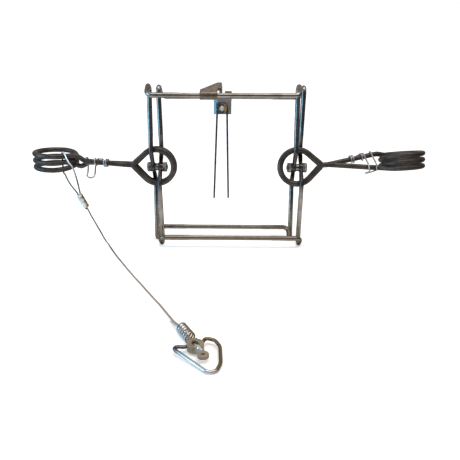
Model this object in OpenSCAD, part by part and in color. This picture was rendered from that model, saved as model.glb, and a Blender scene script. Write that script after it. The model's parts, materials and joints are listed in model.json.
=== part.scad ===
// Body-gripping trap with two torsion springs, standing set on its lower corners.
// Millimetres, +Z up, origin on the floor under the middle, +X to the viewer's right.
// The viewer is on the -Y side.

/* [Jaws] */
// centre distance of the two side rods of one jaw
jaw_w = 254; // [220:1:300]
// centre distance of the top and bottom bars of one jaw
jaw_h = 245; // [210:1:290]
// jaw rod diameter
rod_d = 8; // [6:0.5:10]
// lean of the side rods back towards the middle plane, degrees
rod_lean = 5; // [3:0.5:7]
// bend radius where a rod end folds over
fold_r = 7.5; // [6:0.5:10]
// direction of the rod after the fold, degrees from straight up
fold_a = 130; // [120:1:150]
// straight length between the fold and the corner
fold_s = 10; // [4:1:16]
// bend radius from the folded end into the bar
corner_r = 11; // [9:0.5:16]

/* [Pivots] */
// outside diameter of the flat pivot eyes
eye_d = 17; // [15:0.5:20]
// thickness of the pivot eyes
eye_t = 7; // [5:0.5:8]
// pivot bolt shank diameter
bolt_d = 8; // [6:0.5:9]
// radial running clearance of eyes on the bolt
run_fit = 0.06; // [0.02:0.01:0.1]
// end clearance between stacked pivot pieces
end_gap = 0.1; // [0.05:0.05:0.2]
// length of the spacer between the two eyes
spacer_l = 5.6; // [5:0.2:8]
// washer outside diameter
washer_d = 16; // [15:0.5:20]
// washer thickness
washer_t = 1.6; // [1:0.2:2.5]
// bolt head and nut width across flats
hex_w = 13; // [12:0.5:16]
// bolt head height
head_h = 5; // [4:0.5:6]
// nut height
nut_h = 6.5; // [5:0.5:8]

/* [Springs] */
// spring wire diameter
wire_d = 9; // [7:0.5:9.5]
// mean radius of the spring coil
coil_r = 34.5; // [30:0.5:40]
// rise of the coil in one turn
coil_pitch = 12; // [11:0.5:13]
// distance from coil axis to eye centre
spring_l = 185; // [160:1:200]
// mean radius of the spring eyes
ring_r = 30; // [28:0.5:34]
// gap between the two eyes of one spring
ring_gap = 0.7; // [0.6:0.1:1.5]
// free play between eye wire and jaw rod
ring_play = 4.5; // [4:0.5:7]
// upward tilt of the left spring, degrees
left_tilt = 3; // [0:0.5:4]
// forward roll of the left spring, degrees
left_roll = 4.5; // [0:0.5:6]
// upward tilt of the right spring, degrees
right_tilt = 5; // [0:0.5:6]
// backward roll of the right spring, degrees
right_roll = 4.5; // [0:0.5:6]
// swing of both springs about the upright through their eyes, degrees
spring_swing = 2; // [0:0.5:4]

/* [Catches] */
// safety catch wire diameter
catch_d = 2.8; // [2:0.2:3.2]
// clearance of the catch wraps round the leg
catch_gap = 0.4; // [0.35:0.05:0.6]
// place of the catch along the leg, from the coil axis
catch_x = 52; // [50:1:60]

/* [Dog and trigger] */
// sheet thickness of the dog
dog_t = 3; // [2:0.5:3.5]
// left end of the dog barrel
dog_x = -45; // [-60:1:-40]
// width of the dog barrel
dog_w = 29; // [20:1:34]
// sheet thickness of the trigger plate
plate_t = 2.5; // [2:0.5:3]
// width of the trigger plate
plate_w = 32; // [28:1:40]
// drop of the trigger plate below its bar
plate_h = 30.5; // [28:0.5:44]
// trigger wire diameter
prong_d = 3; // [2:0.2:3.2]
// length of the trigger wires below the plate
prong_l = 155; // [100:1:170]
// trigger clamp bolt diameter
clamp_d = 5; // [4:0.5:6]

/* [Cable and fittings] */
// wire rope diameter
cable_d = 2.4; // [2:0.2:3]
// outside diameter of the shock spring
shock_d = 12; // [11:0.5:14]
// shock spring wire diameter
shock_wire = 1.6; // [1.2:0.2:2]
// shock spring length
shock_l = 30; // [26:1:36]
// shock spring turns
shock_n = 6; // [5:1:8]
// radius of the big end of the swivel
swivel_r = 9; // [8:0.5:11]
// height of the big end of the swivel
swivel_h = 8; // [7:0.5:10]
// radius of the small eye of the swivel
lug_r = 6; // [5:0.5:8]
// hole in the small eye of the swivel
lug_hole = 4.2; // [3:0.2:5]
// wire diameter of the end ring
ring_wire = 4; // [3:0.2:4.4]

/* [Hidden] */
$fn = 48;
eps = 0.01;
rod_r = rod_d / 2;
wire_r = wire_d / 2;
jaw_shift = (eye_t + spacer_l + 2 * end_gap) / 2;
// middle of the eye stack on each side, and the pivot height above the floor
pivot_x = jaw_w / 2;
ring_y = (wire_d + ring_gap) / 2;
crank_v = ring_y + wire_r + rod_r + ring_play;
crank_u = ring_r - 3;
crank_a = atan2(crank_v, crank_u);
crank_r = 12;
fold_in = fold_a + rod_lean;
fold_drop = fold_r * (sin(fold_in) * cos(rod_lean) + (1 - cos(fold_in)) * sin(rod_lean));
fold_out = fold_r * ((1 - cos(fold_in)) * cos(rod_lean) - sin(fold_in) * sin(rod_lean));
fold_u = jaw_h / 2 - fold_drop - (corner_r + fold_s) * cos(fold_a);
fold_v = crank_v - (fold_u - crank_u) * tan(rod_lean);
bar_v = fold_v + fold_out + (corner_r + fold_s) * sin(fold_a);
bar_u = jaw_h / 2;
foot_u = fold_u + fold_r * (1 + sin(rod_lean)) + rod_r;
pivot_z = foot_u;
// spring places: eye centres just inside the eye stack and a little above the bolt
ring_x = pivot_x - 0.5;
ring_z = pivot_z + 1.2;
left_coil = [-ring_x, 0, ring_z] + spring_l * [-cos(left_tilt) * cos(spring_swing),
  cos(left_tilt) * sin(spring_swing), sin(left_tilt)];
apex = ring_r * sqrt(2);

function unit(v) = v / norm(v);
function side(v) = abs(v.z) < 0.9 * norm(v) ? unit(cross([0, 0, 1], v)) : unit(cross([0, 1, 0], v));
function turn(v, k, a) = v * cos(a) + cross(k, v) * sin(a) + k * (k * v) * (1 - cos(a));

// puts the local x and y axes on e1 and e2 at point o
module place(o, e1, e2) {
  e3 = cross(e1, e2);
  multmatrix([
    [e1.x, e2.x, e3.x, o.x],
    [e1.y, e2.y, e3.y, o.y],
    [e1.z, e2.z, e3.z, o.z],
    [0, 0, 0, 1]
  ]) children();
}

// centre line laid as a run of pieces from point p with heading h; a piece is [length] for a
// straight or [towards, radius, angle, steps] for a bend
function run(p, h, list, i = 0) =
  i >= len(list) ? [p]
  : len(list[i]) == 1 ? concat([p], run(p + h * list[i][0], h, list, i + 1))
  : let (n = unit(list[i][0] - h * (h * list[i][0])), r = list[i][1], a = list[i][2], k = list[i][3])
    concat(
      [for (j = [0 : k - 1]) p + r * (n * (1 - cos(a * j / k)) + h * sin(a * j / k))],
      run(p + r * (n * (1 - cos(a)) + h * sin(a)), h * cos(a) + n * sin(a), list, i + 1)
    );

function corner(a, b, c) = acos(max(-1, min(1, unit(b - a) * unit(c - b))));
function cut(pts, rad, i) =
  i <= 0 || i >= len(pts) - 1 ? 0 : rad[i] * tan(corner(pts[i - 1], pts[i], pts[i + 1]) / 2);
// pieces of a run along a row of points, with bends of the given radii at the inner points
function pieces(pts, rad, k) = [
  for (i = [1 : len(pts) - 1])
    let (l = norm(pts[i] - pts[i - 1]) - cut(pts, rad, i - 1) - cut(pts, rad, i))
    for (q = i == len(pts) - 1 ? [[l]]
        : [[l], [pts[i + 1] - pts[i], rad[i], corner(pts[i - 1], pts[i], pts[i + 1]), k]]) q
];
function eased(pts, rad, k) = run(pts[0], unit(pts[1] - pts[0]), pieces(pts, rad, k));

// smooth line through route points, k steps in each stretch
function smooth(p, k) = [
  for (i = [0 : len(p) - 2])
    let (a = p[max(0, i - 1)], b = p[i], c = p[i + 1], d = p[min(len(p) - 1, i + 2)])
    for (j = [0 : k - 1])
      let (t = j / k)
      0.5 * (2 * b + (c - a) * t + (2 * a - 5 * b + 4 * c - d) * t * t
        + (3 * b - a - 3 * c + d) * t * t * t),
  p[len(p) - 1]
];

// heading at each point of a line, and side vectors carried along it without twist
function heads(p) = [
  for (i = [0 : len(p) - 1]) unit(p[min(i + 1, len(p) - 1)] - p[max(i - 1, 0)])
];
function carried(h) = [
  for (i = 0, s = side(h[0]); i < len(h);
    i = i + 1,
    s = i < len(h) ? unit(s - h[i] * (s * h[i])) : s) s
];

// one unbroken tube of m sides along the points p
module tube(p, d, m) {
  h = heads(p);
  s = carried(h);
  n = len(p);
  v = [
    for (i = [0 : n - 1])
      for (j = [0 : m - 1]) p[i] + d / 2 * turn(s[i], h[i], 360 * j / m)
  ];
  sides = [
    for (i = [0 : n - 2])
      for (j = [0 : m - 1])
        let (a = i * m + j, b = i * m + (j + 1) % m)
        for (f = [[a, a + m, b], [b, a + m, b + m]]) f
  ];
  first = [for (j = [1 : m - 2]) [0, j, j + 1]];
  last = [for (j = [1 : m - 2]) [(n - 1) * m, (n - 1) * m + j + 1, (n - 1) * m + j]];
  polyhedron(v, concat(first, sides, last));
}

// least distance of a line to itself, leaving out points within k of each other
function own_gap(p, k, d) = min([
  for (i = [0 : len(p) - 1])
    for (j = [i + k : 1 : len(p) - 1]) norm(p[i] - p[j])
]) - d;

// hexagonal block with its flats hex_w apart
module hex(w, h) cylinder(d = w / cos(30), h = h, $fn = 6);

// centre line of the upper half of a jaw, from the right pivot over the bar to the left pivot
function half_jaw() =
  let (x = jaw_w / 2)
  let (p = [[x, 0, 0], [x, -crank_v, crank_u], [x, -fold_v, fold_u]])
  let (h = unit(p[1]  - p[0]))
  let (up = pieces(p, [0, crank_r, 0], 3))
  let (right = run(p[0] + h, h, concat([[up[0][0] - 1]], [up[1], up[2]], [
    [[0, -1, 0], fold_r, fold_in, 9],
    [fold_s],
    [[-1, 0, 0], corner_r, 90, 6]
  ])))
  concat(right, [for (i = [len(right) - 1 : -1 : 0]) [-right[i].x, right[i].y, right[i].z]]);

// whole jaw, its top bar leaning to the viewer
module jaw()
  difference() {
    union() {
      for (a = [0, 180]) rotate([a, 0, 0]) tube(half_jaw(), rod_d, 12);
      for (sx = [-1, 1])
        translate([sx * jaw_w / 2 - eye_t / 2, 0, 0])
          rotate([0, 90, 0]) cylinder(d = eye_d, h = eye_t);
    }
    for (sx = [-1, 1])
      translate([sx * jaw_w / 2 - eye_t, 0, 0])
        rotate([0, 90, 0]) cylinder(d = bolt_d + 2 * run_fit, h = 2 * eye_t);
    for (sx = [-1, 1])
      for (e = [-1, 1])
        translate([sx * jaw_w / 2 + e * (eye_t + rod_d) / 2 - rod_d / 2, 0, 0])
          rotate([0, 90, 0]) cylinder(d = eye_d + 0.6, h = rod_d);
  }

module front_jaw()
  color("dimgray") translate([-jaw_shift, 0, pivot_z]) jaw();

module rear_jaw()
  color("gray") translate([jaw_shift, 0, pivot_z]) mirror([0, 1, 0]) jaw();

// pivot pieces on the right, with x counted outwards from the middle of the eye stack
stack = jaw_shift + eye_t / 2 + end_gap;
module at_pivot(sx)
  translate([sx * pivot_x, 0, pivot_z]) mirror([sx < 0 ? 1 : 0, 0, 0]) rotate([0, 90, 0]) children();

module pivot_bolt() {
  translate([0, 0, stack + washer_t]) hex(hex_w, head_h);
  translate([0, 0, -stack - washer_t - nut_h - 1.5])
    cylinder(d = bolt_d, h = 2 * (stack + washer_t) + nut_h + 1.5 + eps);
}
module pivot_nut()
  difference() {
    translate([0, 0, -stack - washer_t - nut_h]) hex(hex_w, nut_h);
    translate([0, 0, -stack - washer_t - nut_h - 1]) cylinder(d = bolt_d, h = nut_h + 2);
  }
module collar(z, d, h)
  difference() {
    translate([0, 0, z]) cylinder(d = d, h = h);
    translate([0, 0, z - 1]) cylinder(d = bolt_d + 2 * run_fit, h = h + 2);
  }

module left_pivot_bolt() color("silver") at_pivot(-1) pivot_bolt();
module right_pivot_bolt() color("silver") at_pivot(1) pivot_bolt();
module left_pivot_nut() color("silver") at_pivot(-1) pivot_nut();
module right_pivot_nut() color("silver") at_pivot(1) pivot_nut();
module left_head_washer() color("silver") at_pivot(-1) collar(stack, washer_d, washer_t);
module right_head_washer() color("silver") at_pivot(1) collar(stack, washer_d, washer_t);
module left_nut_washer() color("silver") at_pivot(-1) collar(-stack - washer_t, washer_d, washer_t);
module right_nut_washer() color("silver") at_pivot(1) collar(-stack - washer_t, washer_d, washer_t);
module left_spacer() color("silver") at_pivot(-1) collar(-spacer_l / 2, bolt_d + 5, spacer_l);
module right_spacer() color("silver") at_pivot(1) collar(-spacer_l / 2, bolt_d + 5, spacer_l);

// springs: coil axis at the local origin, eye centre on +x, first leg on the -y side and high
neck_a = 40;
// free space between the end of an eye and its leg
eye_end = 1.6;
neck_y = ring_y + 5;
entry = [spring_l - apex - 14, -ring_y, 0];
// the legs of the left spring fall to the middle plane at this place; the right ones run straight
fall = [56, -neck_y + 0.9, 3];
// end of the bend out of the coil, and where the leg turns along the spring
neck = [coil_r * sin(neck_a), -coil_r * cos(neck_a), coil_pitch];
knee = neck + (-neck_y - neck.y) / sin(neck_a) * [cos(neck_a), sin(neck_a), 0];
left_dir = unit(entry - fall);
right_dir = unit(entry - knee);

// centre line of one leg with its eye; via holds the places between coil and eye, rad their bends
function half_spring(via, rad) = run([0, -coil_r, coil_pitch], [1, 0, 0], concat(
  [[[0, 1, 0], coil_r, neck_a, 4]],
  pieces(
    concat([neck], via, [entry, [spring_l - apex, -ring_y, 0],
      [spring_l - ring_r * sin(45), -ring_y, ring_r * sin(45)]]),
    concat([0], rad, [50, 10, 0]), 4
  ),
  [[[1, 0, -1], ring_r, 270, 20], [ring_r - wire_d - eye_end]]
));
function left_leg() = half_spring([knee, fall], [14, 14]);
function right_leg() = half_spring([knee], [22]);

// coil of two and a half turns: level half turns at the far side, rising ones at the near side
function coil() = run([0, -coil_r, coil_pitch], [-1, 0, 0], [
  for (i = [0 : 4])
    i % 2 == 0 ? [[0, 1, 0], coil_r, 180, 12]
    : [[0, -2 * coil_r, -coil_pitch], norm([coil_r, coil_pitch / 2]), 180, 12]
]);
function flip(p) = [for (q = p) [q.x, -q.y, -q.z]];
function back(p) = [for (i = [len(p) - 1 : -1 : 0]) p[i]];
// the whole wire in one line, from one eye to the other
function whole(leg) = concat(back(leg), [for (i = [1 : len(coil()) - 2]) coil()[i]], flip(leg));
echo(left_spring_gap = own_gap(whole(left_leg()), 8, wire_d));
echo(right_spring_gap = own_gap(whole(right_leg()), 8, wire_d));
// square ends where the left coil and its legs part
seam = [0.3, 0, 0];
function parted_coil() = let (c = coil(), n = len(c)) concat([c[0], c[0] - seam],
  [for (i = [1 : n - 2]) c[i]], [c[n - 1] - seam, c[n - 1]]);
function parted_leg() = let (c = left_leg()) concat([c[0] + seam, c[0] + 2 * seam],
  [for (i = [1 : len(c) - 1]) c[i]]);

module at_left_spring() translate([-ring_x, 0, ring_z]) rotate([0, left_tilt, -spring_swing])
  rotate([left_roll, 0, 0]) translate([-spring_l, 0, 0]) children();
module at_right_spring() translate([ring_x, 0, ring_z]) rotate([0, -right_tilt, -spring_swing])
  rotate([-right_roll, 0, 0]) rotate([0, 0, 180]) translate([-spring_l, 0, 0]) children();

module left_spring_coil() color("black") at_left_spring() tube(parted_coil(), wire_d, 10);
module left_front_leg() color("black") at_left_spring() tube(parted_leg(), wire_d, 10);
module left_rear_leg() color("black") at_left_spring() tube(flip(parted_leg()), wire_d, 10);
module right_spring() color("black") at_right_spring() tube(whole(right_leg()), wire_d, 10);

// safety catch: q runs along the leg from the coil towards the eye, the wire wraps round the leg
// and carries a hooked bail on the side of the other leg
wrap_r = wire_r + catch_gap + catch_d / 2;
bail_w = 13;
leg_apart = norm([2 * (neck_y - 1), 2 * 8.6]);
bail_l = leg_apart + wire_r + catch_d / 2 - 2.5;
wrap_step = catch_d + 0.8;
// turns round the leg from angle a0 to a1, starting at q
function wrap(q, a0, a1) =
  let (n = ceil(abs(a1 - a0) / 30))
  [for (k = [0 : n]) let (a = a0 + (a1 - a0) * k / n)
    [q - wrap_step * abs(a - a0) / 360, wrap_r * cos(a), wrap_r * sin(a)]];
// the wire crosses from the double wrap to the single one along the top of the leg
cross_q = [15.9, 13.9, 11.4, 8.6, 6.4, 4.9];
cross_a = [55, 75, 85, 93, 105, 122];
function catch_line() = concat(
  [[bail_w + 24, catch_d, wrap_r + 0.3]],
  wrap(bail_w + 24, 90, 90 + 660),
  [for (k = [0 : 5])
    [bail_w + cross_q[k], wrap_r * cos(cross_a[k]), wrap_r * sin(cross_a[k])]],
  wrap(bail_w + wrap_step * 398 / 360, 142, 142 + 398),
  eased([
    [bail_w, -wrap_r, -2], [bail_w, -wrap_r, -bail_l], [bail_w, -wrap_r + 8, -bail_l - 1],
    [0, -wrap_r + 8, -bail_l - 1], [0, -wrap_r, -bail_l], [0, -wrap_r, -0.5]
  ], [0, 3, 3, 3, 3, 0], 4),
  wrap(0, 180, 45)
);
echo(catch_gap = own_gap(catch_line(), 7, catch_d));
module catch_wire() mirror([0, 1, 0]) tube(catch_line(), catch_d, 8);

// the left catch hangs open, the right one is swung over the other leg and hooked beneath it
left_hang = -12;
right_hang = 60;
left_seat = fall + left_dir * (catch_x + 8.5 - fall.x) / left_dir.x;
right_seat = knee + right_dir * (catch_x - knee.x) / right_dir.x;
module on_leg(seat, dir, a)
  place(seat, dir, unit([0, 1, 0] - dir * dir.y)) rotate([a, 0, 0]) children();

module left_catch()
  color("lightgray") at_left_spring() on_leg(left_seat, left_dir, left_hang) catch_wire();
module right_catch()
  color("lightgray") at_right_spring() on_leg(right_seat, right_dir, right_hang) catch_wire();

// dog: barrel on the top bar of the front jaw, y and z counted from that bar
top_z = pivot_z + bar_u;
dog_free = 3.6;
dog_bite = 0.8;
barrel_r = rod_r + run_fit + dog_t;
hook_y = 2 * bar_v + rod_r + dog_free;
hook_z = rod_r - dog_bite;
arm_x = dog_x + dog_w + 0.5;
arm_w = 6;
module along_x(x, l) translate([x, 0, 0]) rotate([90, 0, 90]) linear_extrude(l) children();

module dog()
  color("gray") translate([0, -bar_v, top_z])
    difference() {
      union() {
        along_x(dog_x, dog_w) circle(barrel_r);
        intersection() {
          along_x(dog_x, dog_w + 20) polygon([
            [-2, barrel_r - 0.5], [24, 21.9], [hook_y - 13, 21.9], [hook_y + dog_t, 8],
            [hook_y + dog_t, hook_z], [hook_y, hook_z], [hook_y, 6.6], [hook_y - 14, 18.7],
            [25, 18.7], [4.4, 5.2], [0, 5]
          ]);
          linear_extrude(30) polygon([
            [dog_x, -8], [dog_x, 3], [arm_x, 25], [arm_x, hook_y + 9], [arm_x + arm_w, hook_y + 9],
            [arm_x + arm_w, 9], [dog_x + dog_w, 8], [dog_x + dog_w, -8]
          ]);
        }
      }
      along_x(dog_x - 1, dog_w + 2) circle(rod_r + run_fit);
    }

// trigger: barrel on the top bar of the rear jaw, y and z counted from that bar
plate_x = -25;
lug_x = -5;
lug_w = 12.5;
plate_r = rod_r + run_fit + plate_t;
face_y = -plate_r;
clamp = [plate_x + 15.2, face_y, -20.5];
arch_r = 8.8;
module trigger_plate()
  color("dimgray") translate([0, bar_v, top_z])
    difference() {
      union() {
        along_x(lug_x, lug_w) circle(plate_r);
        translate([lug_x, -2, 4.5]) cube([lug_w, 5, 5.5]);
        translate([lug_x, face_y, -6]) cube([lug_w - 1, plate_t, 6]);
        translate([plate_x, face_y, -plate_h]) cube([plate_w, plate_t, plate_h - 1.5]);
        translate([plate_x, face_y - 1.2, -9.5]) cube([plate_w, 2, 6.5]);
        translate([plate_x, face_y - plate_t, -plate_h]) cube([4.6, plate_t + 1, plate_h - 11]);
      }
      along_x(lug_x - 1, lug_w + 2) circle(rod_r + run_fit);
      translate(clamp - [0, 1, 0]) rotate([-90, 0, 0]) cylinder(d = clamp_d + 0.1, h = plate_t + 2);
    }

prong_y = face_y - prong_d / 2;
module trigger_wire()
  color("silver") translate([0, bar_v, top_z])
    tube(concat(
      [[clamp.x - arch_r - 6.5, prong_y, -plate_h - prong_l]],
      [for (k = [0 : 10]) [clamp.x - arch_r * cos(18 * k), prong_y, clamp.z + arch_r * sin(18 * k)]],
      [[clamp.x + arch_r + 3, prong_y, -plate_h - prong_l]]
    ), prong_d, 8);

module at_clamp(y)
  translate([0, bar_v, top_z]) translate([clamp.x, y, clamp.z]) rotate([90, 0, 0]) children();
clamp_y = face_y - prong_d;
module trigger_washer()
  color("silver") at_clamp(clamp_y)
    difference() {
      cylinder(d = 2 * arch_r, h = 1.6);
      translate([0, 0, -1]) cylinder(d = clamp_d + 0.1, h = 4);
    }
module trigger_nut()
  color("silver") at_clamp(clamp_y - 1.6)
    difference() {
      hex(8, 4);
      translate([0, 0, -1]) cylinder(d = clamp_d, h = 6);
    }
module trigger_bolt()
  color("silver") at_clamp(face_y + plate_t) {
    translate([0, 0, -3.5]) hex(8, 3.5);
    translate([0, 0, -eps]) cylinder(d = clamp_d, h = plate_t + prong_d + 1.6 + 5);
  }

// wire rope: the loop round the left coil is counted from the coil middle, the run lies on the floor
loop_route = [[49.5, -40.5, -59], [48, -40, -55], [43, -38.5, -48.5], [36, -36, -40.5], [29.5, -33, -30.5],
  [25, -29, -23], [20.5, -23, -21], [18, -18.5, -13.5], [18.5, -18.5, 0], [18.5, -19, 11],
  [22.5, -23.5, 15.5], [27.6, -29.4, 13.5], [31.6, -33.6, 6.5], [36.5, -36, -1.5], [42.5, -37, -10],
  [48, -39, -28], [51.5, -40, -48], [53, -40, -59]];
ferrule_a = [50, -40, -56];
ferrule_b = [60, -36, -80];
shock_a = [-48.5, -339, 6.2];
axis = unit([0.481, -0.877, 0]);
over = [-axis.y, axis.x, 0];
function on_axis(t, w, z) = shock_a + axis * t + over * w + [0, 0, z];
drop_route = [[59.5, -36, -78.5], [62, -35, -85]];
run_route = [[-243.5, -32, 58], [-236.3, -31, 42], [-229, -30, 26], [-222.5, -30, 12], [-214, -36, 3.8],
  [-203, -56, 1.4], [-185, -89, 1.3], [-171, -118, 1.3], [-156, -145, 1.3], [-142, -170, 1.3],
  [-128, -193, 1.3], [-116, -214, 1.3], [-104, -235, 1.3], [-93, -254, 1.3], [-83, -271, 1.4],
  [-73, -290, 2]];
end_route = [on_axis(-24, 1.45, -3.2), on_axis(-8, 1.45, -0.7), on_axis(2, 1.45, 0),
  on_axis(13, 1.45, 0), on_axis(24, 0.3, 0), on_axis(32, 0, 0), on_axis(44.5, 0, 0)];
tail_route = [on_axis(-27, -1.6, -4.2), on_axis(-20, -1.6, -2.8), on_axis(-8, -1.45, -0.7),
  on_axis(2, -1.45, 0), on_axis(12.5, -1.45, 0)];
shift = [for (p = drop_route) p + left_coil];

module cable_loop() color("gray") tube(smooth([for (p = loop_route) p + left_coil], 2), cable_d, 8);
module cable_run() color("gray") tube(smooth(concat(shift, run_route, end_route), 2), cable_d, 8);
module cable_tail() color("silver") tube(smooth(tail_route, 1), cable_d, 8);

// flat-sided sleeve from a to b round two strands set w apart along e
module sleeve(a, b, e, w, d) {
  h = unit(b - a);
  n = unit(e - h * (e * h));
  place(a, n, cross(h, n)) {
    for (k = [-1, 1]) translate([k * w / 2, 0, 0]) cylinder(d = d, h = norm(b - a));
    translate([-w / 2, -d / 2, 0]) cube([w, d, norm(b - a)]);
  }
}
module loop_ferrule()
  color("silver") translate(left_coil) sleeve(ferrule_a, ferrule_b, [1, 0, 0], 4, 6);
module end_sleeve()
  color("silver") sleeve(on_axis(4, 0, 0), on_axis(12, 0, 0), over, 2.9, cable_d + 1.4);

shock_r = (shock_d - shock_wire) / 2;
function shock_line() = concat(
  [on_axis(shock_wire / 2, shock_r, -shock_wire)],
  [for (k = [0 : shock_n * 12]) on_axis(
    shock_wire / 2 + (shock_l - shock_wire) * k / (shock_n * 12),
    shock_r * cos(30 * k), shock_r * sin(30 * k))],
  [on_axis(shock_l - shock_wire / 2, shock_r, shock_wire)]
);
echo(shock_gap = own_gap(shock_line(), 5, shock_wire));
module shock_spring() color("silver") tube(shock_line(), shock_wire, 6);

// swivel: x along the cable axis, y across it, z up, counted from the near end of the shock spring
module at_axis(t) place(shock_a + axis * t, axis, over) children();
big_t = shock_l + 3 + swivel_r;
lug_t = big_t + 19;
pin_t = big_t - 4;
module swivel_body()
  color("rosybrown") at_axis(0)
    difference() {
      union() {
        translate([big_t, 0, -swivel_h / 2]) cylinder(r = swivel_r, h = swivel_h);
        translate([shock_l + 0.2, 0, 0]) rotate([0, 90, 0]) cylinder(d = swivel_h - 0.4, h = 6);
        translate([lug_t, 0, -2]) cylinder(r = lug_r, h = 4);
        translate([big_t, -4, -2]) cube([lug_t - big_t, 8, 4]);
        translate([big_t + 5, 0, 1.4]) rotate([0, 90, 0]) cylinder(d = 4.4, h = 9.5);
      }
      translate([lug_t, 0, -5]) cylinder(d = lug_hole, h = 10);
      for (t = [big_t - 2, big_t + 3]) translate([t, 0, -2.8]) cylinder(r = 3.2, h = swivel_h);
      translate([big_t - 2, -3.2, -2.8]) cube([5, 6.4, swivel_h]);
      translate([shock_l - 1, 0, 0]) rotate([0, 90, 0]) cylinder(d = cable_d + 0.8, h = 12);
      for (k = [-1, 1])
        translate([pin_t, k * 4.6, 0]) rotate([-k * 90, 0, 0])
          cylinder(d = ring_wire + 0.1, h = swivel_r);
    }
module cable_stop()
  color("white") at_axis(big_t - 1) rotate([0, 90, 0]) cylinder(d = 5, h = 5);

// end ring: a bail hung by its two ends in the sides of the swivel, lying with its far bar on the floor
ring_dip = 5.1;
module end_ring()
  color("darkgray") at_axis(pin_t) rotate([0, ring_dip, 0]) {
    tube(eased(
      [[0, 4.8, 0], [0, 11, 0], [-6.5, 15, 0], [1, 24, 0], [15, 23, 0], [37, 11.5, 0], [46, 1, 0],
        [42, -5.5, 0], [-7.2, -23.9, 0], [0, -11.5, 0], [0, -4.8, 0]],
      [0, 3, 4.6, 5, 25, 20, 5, 6, 3.2, 6, 0], 4
    ), ring_wire - 0.04, 8);
    for (k = [-1, 1]) translate([0, k * 4.7, 0]) rotate([-k * 90, 0, 0])
      cylinder(d = ring_wire, h = 5.5);
  }

front_jaw();
rear_jaw();
left_pivot_bolt();
right_pivot_bolt();
left_pivot_nut();
right_pivot_nut();
left_head_washer();
right_head_washer();
left_nut_washer();
right_nut_washer();
left_spacer();
right_spacer();
left_spring_coil();
left_front_leg();
left_rear_leg();
right_spring();
left_catch();
right_catch();
dog();
trigger_plate();
trigger_wire();
trigger_washer();
trigger_nut();
trigger_bolt();
cable_loop();
cable_run();
cable_tail();
loop_ferrule();
end_sleeve();
shock_spring();
swivel_body();
cable_stop();
end_ring();
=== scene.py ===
"""Body-gripping trap, set: the finer visible pieces, materials, light and camera.

Lengths are millimetres, as in part.scad, and add_piece turns them into metres. Places come from the
frame's joints where there is one. x runs to the viewer's right, -y towards the viewer, z up.
"""
import json
from itertools import accumulate

import bpy
import numpy as np
from mathutils import Matrix


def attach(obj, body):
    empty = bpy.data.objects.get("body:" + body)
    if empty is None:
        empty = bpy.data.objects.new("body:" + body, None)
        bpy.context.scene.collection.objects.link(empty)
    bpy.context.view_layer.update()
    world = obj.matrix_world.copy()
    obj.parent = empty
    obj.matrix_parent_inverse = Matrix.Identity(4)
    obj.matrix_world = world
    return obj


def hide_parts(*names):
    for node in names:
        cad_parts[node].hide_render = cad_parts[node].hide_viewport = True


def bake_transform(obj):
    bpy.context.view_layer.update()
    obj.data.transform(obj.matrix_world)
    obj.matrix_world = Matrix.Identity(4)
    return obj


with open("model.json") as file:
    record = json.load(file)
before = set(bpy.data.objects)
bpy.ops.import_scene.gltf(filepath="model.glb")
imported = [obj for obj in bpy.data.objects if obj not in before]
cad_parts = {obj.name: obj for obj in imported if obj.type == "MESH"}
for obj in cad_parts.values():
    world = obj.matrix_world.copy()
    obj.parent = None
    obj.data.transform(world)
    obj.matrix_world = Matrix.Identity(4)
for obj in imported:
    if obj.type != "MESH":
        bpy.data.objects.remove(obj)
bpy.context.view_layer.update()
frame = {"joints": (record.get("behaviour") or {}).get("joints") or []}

MM = 0.001
JOINTS = {joint["name"]: joint for joint in frame["joints"]}


def joint_place(name):
    """Where a joint sits, in millimetres."""
    return np.array(JOINTS[name]["pos_m"], float) / MM


def unit(v):
    """The vector, or each row, made one long."""
    v = np.asarray(v, float)
    return v / np.linalg.norm(v, axis=-1, keepdims=True)


# Driving sizes as in part.scad. WASHER_D and HEX_W are drawn larger than there, and ROD_FREE is what the
# jaw rods gain in radius on their free spans
JAW_W, JAW_H, ROD_D, ROD_LEAN = 254.0, 245.0, 8.0, np.radians(5)
FOLD_R, FOLD_A, FOLD_S, CORNER_R, ROD_FREE = 7.5, np.radians(130), 10.0, 11.0, 0.35
EYE_D, EYE_T, BOLT_D, RUN_FIT, END_GAP = 17.0, 7.0, 8.0, 0.06, 0.1
SPACER_L, WASHER_D, WASHER_T, HEX_W, HEAD_H, NUT_H = 5.6, 17.0, 1.6, 16.5, 5.0, 6.5
WIRE_D, COIL_R, COIL_PITCH, SPRING_L, RING_R = 9.0, 34.5, 12.0, 185.0, 30.0
RING_GAP, RING_PLAY, SWING = 0.7, 4.5, 2.0
TILT_ROLL = {"left": (3, 4.5), "right": (-5, -4.5)}
CATCH_D, CATCH_GAP, CATCH_X = 2.8, 0.4, {"left": 60.5, "right": 52.0}
HANG = {"left": -12, "right": 60}
PLATE_T, PLATE_H, PRONG_D, PRONG_L, CLAMP_D = 2.5, 30.5, 3.0, 155.0, 5.0
CABLE_D, SHOCK_D, SHOCK_WIRE, SHOCK_L, SHOCK_N = 2.4, 12.0, 1.6, 30.0, 6
RING_WIRE, RING_DIP = 4.0, 5.1

ROD_R, WIRE_R = ROD_D / 2, WIRE_D / 2
PIVOT_Z = joint_place("jaw_close")[2]
JAW_SHIFT = (EYE_T + SPACER_L + 2 * END_GAP) / 2
STACK = JAW_SHIFT + EYE_T / 2 + END_GAP
RING_Y = (WIRE_D + RING_GAP) / 2
CRANK_V, CRANK_U, CRANK_R = RING_Y + WIRE_R + ROD_R + RING_PLAY, RING_R - 3, 12.0


# Centre lines

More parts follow.
